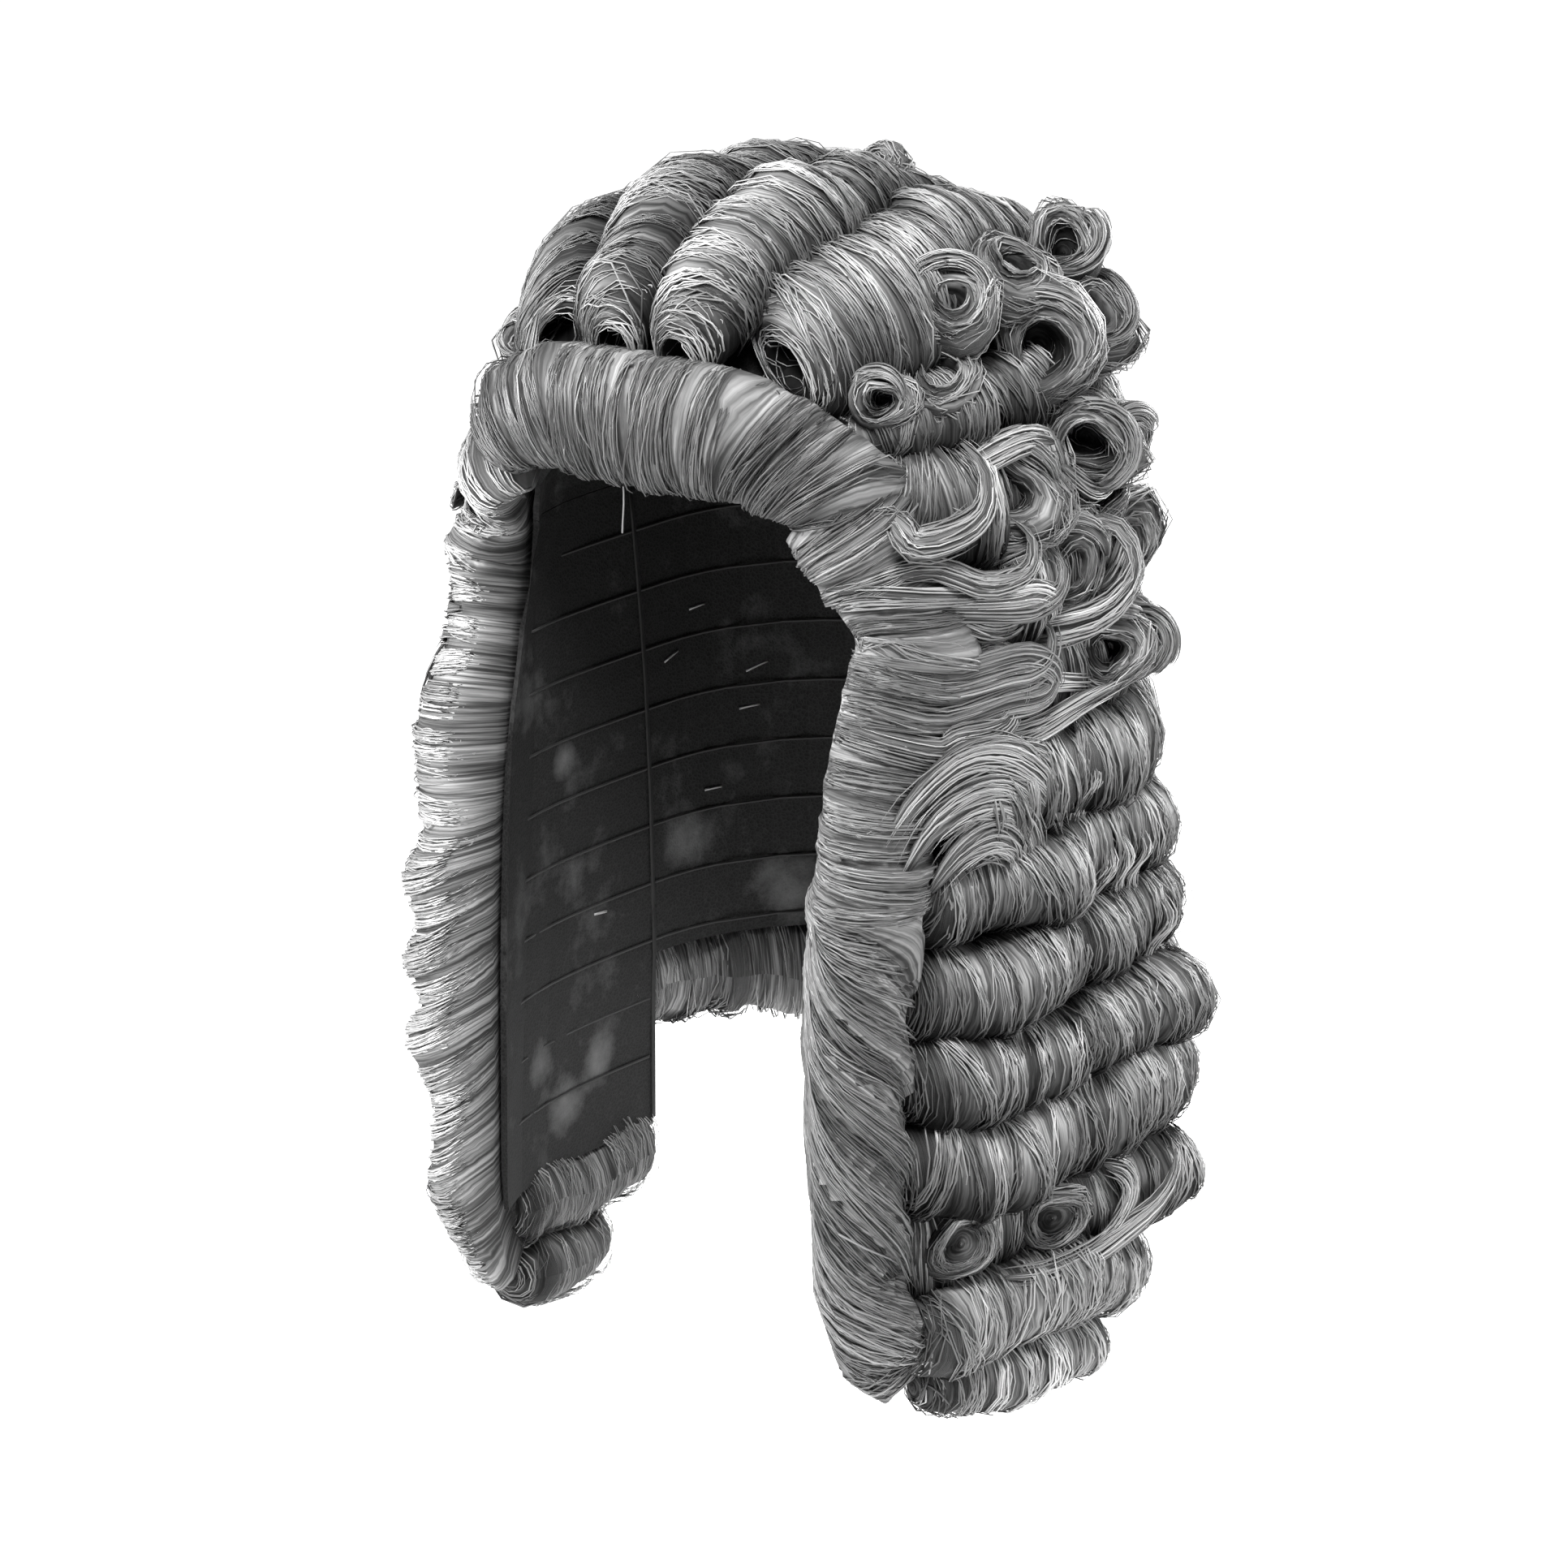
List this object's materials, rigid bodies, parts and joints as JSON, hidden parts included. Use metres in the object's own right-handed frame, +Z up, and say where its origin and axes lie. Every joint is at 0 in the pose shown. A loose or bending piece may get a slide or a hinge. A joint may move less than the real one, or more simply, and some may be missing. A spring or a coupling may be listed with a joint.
{
  "type": "colonial wig",
  "caption": "Full-bottomed grey wig: a black net cap with long lappets, covered in rolled curls and finger-waved rows, with brushed hair framing the face opening.",
  "frame": {"origin": "top of the head, on the inside of the crown net in the middle plane", "axes": "+Z up the wearer's head, -Y towards the face opening, +X towards the wearer's left"},
  "size_m": [0.2718, 0.2559, 0.455],
  "materials": {
    "hair": "satin",
    "net": "matte"
  },
  "bodies": {
    "root": {"back_net": "net", "back_roll_1": "hair", "back_roll_2": "hair", "back_roll_3": "hair", "back_roll_4": "hair", "back_roll_5": "hair", "back_roll_6": "hair", "back_roll_7": "hair", "back_roll_8": "hair", "back_roll_9": "hair", "crown_net": "net", "crown_roll_1": "hair", "crown_roll_2": "hair", "crown_roll_3": "hair", "crown_roll_4": "hair", "edge_band_left": "hair", "edge_band_right": "hair", "fringe": "hair", "lappet_roll_left_1": "hair", "lappet_roll_left_2": "hair", "lappet_roll_left_3": "hair", "lappet_roll_left_4": "hair", "lappet_roll_left_5": "hair", "lappet_roll_left_6": "hair", "lappet_roll_left_7": "hair", "lappet_roll_left_8": "hair", "lappet_roll_right_1": "hair", "lappet_roll_right_2": "hair", "lappet_roll_right_3": "hair", "lappet_roll_right_4": "hair", "lappet_roll_right_5": "hair", "lappet_roll_right_6": "hair", "lappet_roll_right_7": "hair", "lappet_roll_right_8": "hair", "pin_curl_left_1": "hair", "pin_curl_left_2": "hair", "pin_curl_right_1": "hair", "pin_curl_right_2": "hair", "side_net_left": "net", "side_net_right": "net", "side_roll_left_1": "hair", "side_roll_left_2": "hair", "side_roll_left_3": "hair", "side_roll_left_4": "hair", "side_roll_left_5": "hair", "side_roll_right_1": "hair", "side_roll_right_2": "hair", "side_roll_right_3": "hair", "side_roll_right_4": "hair", "side_roll_right_5": "hair", "temple_curl_left_1": "hair", "temple_curl_left_2": "hair", "temple_curl_left_3": "hair", "temple_curl_left_4": "hair", "temple_curl_right_1": "hair", "temple_curl_right_2": "hair", "temple_curl_right_3": "hair", "temple_curl_right_4": "hair"}
  },
  "joints": []
}
